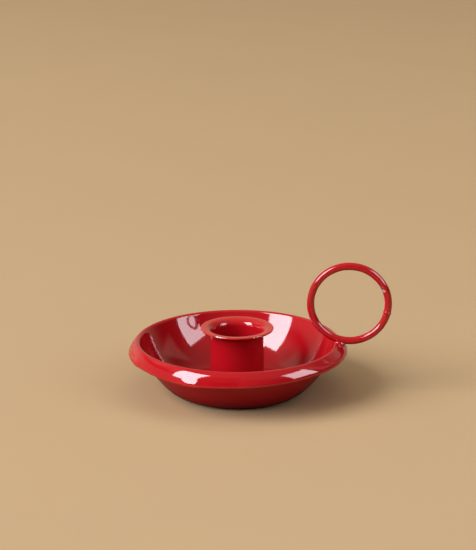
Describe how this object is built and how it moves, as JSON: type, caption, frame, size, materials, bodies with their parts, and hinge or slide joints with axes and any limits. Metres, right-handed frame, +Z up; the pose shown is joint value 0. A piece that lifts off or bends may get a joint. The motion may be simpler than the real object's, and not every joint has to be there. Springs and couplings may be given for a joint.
{
  "type": "chamberstick with finger loop",
  "caption": "Low enamelled dish with a rolled rim, a flared cup in its middle for a dinner candle, and an upright wire ring on the rim to carry it by.",
  "frame": {"origin": "centre of the flat underside, on the table", "axes": "+Z up, along the candle socket, out of its mouth; +X towards the finger ring"},
  "size_m": [0.1182, 0.098, 0.0603],
  "materials": {
    "red_enamel": "gloss"
  },
  "bodies": {
    "root": {"dish": "red_enamel", "candle_cup": "red_enamel", "cup_weld": "red_enamel", "finger_ring": "red_enamel", "ring_joint_weld": "red_enamel", "ring_seat_weld": "red_enamel"}
  },
  "joints": []
}
